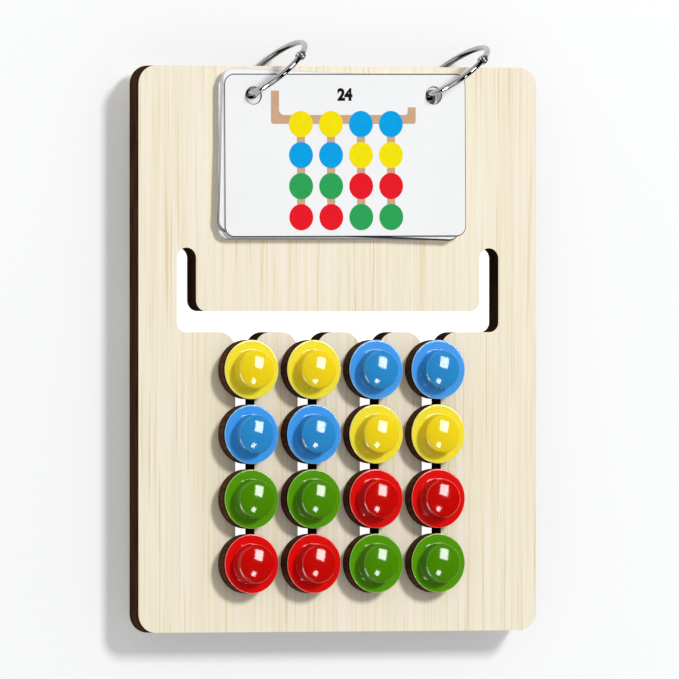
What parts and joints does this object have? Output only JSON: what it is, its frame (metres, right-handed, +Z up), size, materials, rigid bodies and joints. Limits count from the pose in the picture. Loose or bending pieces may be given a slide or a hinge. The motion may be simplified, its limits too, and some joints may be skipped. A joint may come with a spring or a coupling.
{
  "type": "dot matching puzzle game",
  "caption": "Wooden board with a branching track, coloured sliding buttons held in it, and laminated pattern cards that flip on two chrome loose-leaf rings.",
  "frame": {"origin": "on the table the puzzle lies on, at the middle of the whole object's box", "axes": "+Z up out of the pattern side, +Y from the plain bottom edge to the edge with the rings, +X to the right"},
  "size_m": [0.1632, 0.2197, 0.0315],
  "materials": {
    "board_wood": "pale sanded plywood, cut edges burnt dark",
    "disc_wood": "laser-cut wood, burnt edge",
    "plastic_yellow": "glossy moulded",
    "plastic_blue": "glossy moulded",
    "plastic_green": "glossy moulded",
    "plastic_red": "glossy moulded",
    "card_laminate": "laminated printed card",
    "ring_chrome": "polished plated steel wire"
  },
  "bodies": {
    "board": {"board": "board_wood"},
    "knob_r1c1": {"button_r1c1": "plastic_yellow", "disc_r1c1": "disc_wood", "retainer_r1c1": "plastic_yellow"},
    "knob_r1c2": {"button_r1c2": "plastic_yellow", "disc_r1c2": "disc_wood", "retainer_r1c2": "plastic_yellow"},
    "knob_r1c3": {"button_r1c3": "plastic_blue", "disc_r1c3": "disc_wood", "retainer_r1c3": "plastic_blue"},
    "knob_r1c4": {"button_r1c4": "plastic_blue", "disc_r1c4": "disc_wood", "retainer_r1c4": "plastic_blue"},
    "knob_r2c1": {"button_r2c1": "plastic_blue", "disc_r2c1": "disc_wood", "retainer_r2c1": "plastic_blue"},
    "knob_r2c2": {"button_r2c2": "plastic_blue", "disc_r2c2": "disc_wood", "retainer_r2c2": "plastic_blue"},
    "knob_r2c3": {"button_r2c3": "plastic_yellow", "disc_r2c3": "disc_wood", "retainer_r2c3": "plastic_yellow"},
    "knob_r2c4": {"button_r2c4": "plastic_yellow", "disc_r2c4": "disc_wood", "retainer_r2c4": "plastic_yellow"},
    "knob_r3c1": {"button_r3c1": "plastic_green", "disc_r3c1": "disc_wood", "retainer_r3c1": "plastic_green"},
    "knob_r3c2": {"button_r3c2": "plastic_green", "disc_r3c2": "disc_wood", "retainer_r3c2": "plastic_green"},
    "knob_r3c3": {"button_r3c3": "plastic_red", "disc_r3c3": "disc_wood", "retainer_r3c3": "plastic_red"},
    "knob_r3c4": {"button_r3c4": "plastic_red", "disc_r3c4": "disc_wood", "retainer_r3c4": "plastic_red"},
    "knob_r4c1": {"button_r4c1": "plastic_red", "disc_r4c1": "disc_wood", "retainer_r4c1": "plastic_red"},
    "knob_r4c2": {"button_r4c2": "plastic_red", "disc_r4c2": "disc_wood", "retainer_r4c2": "plastic_red"},
    "knob_r4c3": {"button_r4c3": "plastic_green", "disc_r4c3": "disc_wood", "retainer_r4c3": "plastic_green"},
    "knob_r4c4": {"button_r4c4": "plastic_green", "disc_r4c4": "disc_wood", "retainer_r4c4": "plastic_green"},
    "card_stack": {"card_pack": "card_laminate", "card_3": "card_laminate", "card_2": "card_laminate"},
    "front_card": {"card_front": "card_laminate"},
    "ring_left": {"ring_left_bow": "ring_chrome", "ring_left_rivet": "ring_chrome"},
    "gate_left": {"ring_left_gate": "ring_chrome"},
    "ring_right": {"ring_right_bow": "ring_chrome", "ring_right_rivet": "ring_chrome"},
    "gate_right": {"ring_right_gate": "ring_chrome"}
  },
  "joints": [
    {"name": "knob_r1c1_slide", "type": "slide", "parent": "board", "child": "knob_r1c1", "axis": [0, 1, 0], "range_m": [-0.0019, 0.0178]},
    {"name": "knob_r1c2_slide", "type": "slide", "parent": "board", "child": "knob_r1c2", "axis": [0, 1, 0], "range_m": [-0.0019, 0.0178]},
    {"name": "knob_r1c3_slide", "type": "slide", "parent": "board", "child": "knob_r1c3", "axis": [0, 1, 0], "range_m": [-0.0019, 0.0178]},
    {"name": "knob_r1c4_slide", "type": "slide", "parent": "board", "child": "knob_r1c4", "axis": [0, 1, 0], "range_m": [-0.0019, 0.0178]},
    {"name": "knob_r2c1_slide", "type": "slide", "parent": "board", "child": "knob_r2c1", "axis": [0, 1, 0], "range_m": [-0.0019, 0.0019]},
    {"name": "knob_r2c2_slide", "type": "slide", "parent": "board", "child": "knob_r2c2", "axis": [0, 1, 0], "range_m": [-0.0019, 0.0019]},
    {"name": "knob_r2c3_slide", "type": "slide", "parent": "board", "child": "knob_r2c3", "axis": [0, 1, 0], "range_m": [-0.0019, 0.0019]},
    {"name": "knob_r2c4_slide", "type": "slide", "parent": "board", "child": "knob_r2c4", "axis": [0, 1, 0], "range_m": [-0.0019, 0.0019]},
    {"name": "knob_r3c1_slide", "type": "slide", "parent": "board", "child": "knob_r3c1", "axis": [0, 1, 0], "range_m": [-0.0019, 0.0019]},
    {"name": "knob_r3c2_slide", "type": "slide", "parent": "board", "child": "knob_r3c2", "axis": [0, 1, 0], "range_m": [-0.0019, 0.0019]},
    {"name": "knob_r3c3_slide", "type": "slide", "parent": "board", "child": "knob_r3c3", "axis": [0, 1, 0], "range_m": [-0.0019, 0.0019]},
    {"name": "knob_r3c4_slide", "type": "slide", "parent": "board", "child": "knob_r3c4", "axis": [0, 1, 0], "range_m": [-0.0019, 0.0019]},
    {"name": "knob_r4c1_slide", "type": "slide", "parent": "board", "child": "knob_r4c1", "axis": [0, 1, 0], "range_m": [0, 0.0019]},
    {"name": "knob_r4c2_slide", "type": "slide", "parent": "board", "child": "knob_r4c2", "axis": [0, 1, 0], "range_m": [0, 0.0019]},
    {"name": "knob_r4c3_slide", "type": "slide", "parent": "board", "child": "knob_r4c3", "axis": [0, 1, 0], "range_m": [0, 0.0019]},
    {"name": "knob_r4c4_slide", "type": "slide", "parent": "board", "child": "knob_r4c4", "axis": [0, 1, 0], "range_m": [0, 0.0019]},
    {"name": "card_stack_flip", "type": "hinge", "parent": "board", "child": "card_stack", "pos_m": [0, 0.10195, 0.01645], "axis": [-1, 0, 0], "range_deg": [0, 15]},
    {"name": "front_card_flip", "type": "hinge", "parent": "card_stack", "child": "front_card", "pos_m": [0, 0.10195, 0.01645], "axis": [-1, 0, 0], "range_deg": [0, 75]},
    {"name": "ring_left_swivel", "type": "hinge", "parent": "board", "child": "ring_left", "pos_m": [-0.037, 0.0908, 0.01475], "axis": [0, 0, 1], "range_deg": [0, 49]},
    {"name": "gate_left_open", "type": "hinge", "parent": "ring_left", "child": "gate_left", "pos_m": [-0.02209, 0.10376, 0.02884], "axis": [0.6561, -0.7547, 0], "range_deg": [0, 70]},
    {"name": "ring_right_swivel", "type": "hinge", "parent": "board", "child": "ring_right", "pos_m": [0.037, 0.0908, 0.01475], "axis": [0, 0, 1], "range_deg": [0, 53]},
    {"name": "gate_right_open", "type": "hinge", "parent": "ring_right", "child": "gate_right", "pos_m": [0.05278, 0.10269, 0.02884], "axis": [0.6018, -0.7986, 0], "range_deg": [0, 70]}
  ],
  "couplings": [
    {"joint": "ring_left_swivel", "follows": "front_card_flip", "ratio": 0.65333},
    {"joint": "ring_right_swivel", "follows": "front_card_flip", "ratio": 0.70667}
  ]
}
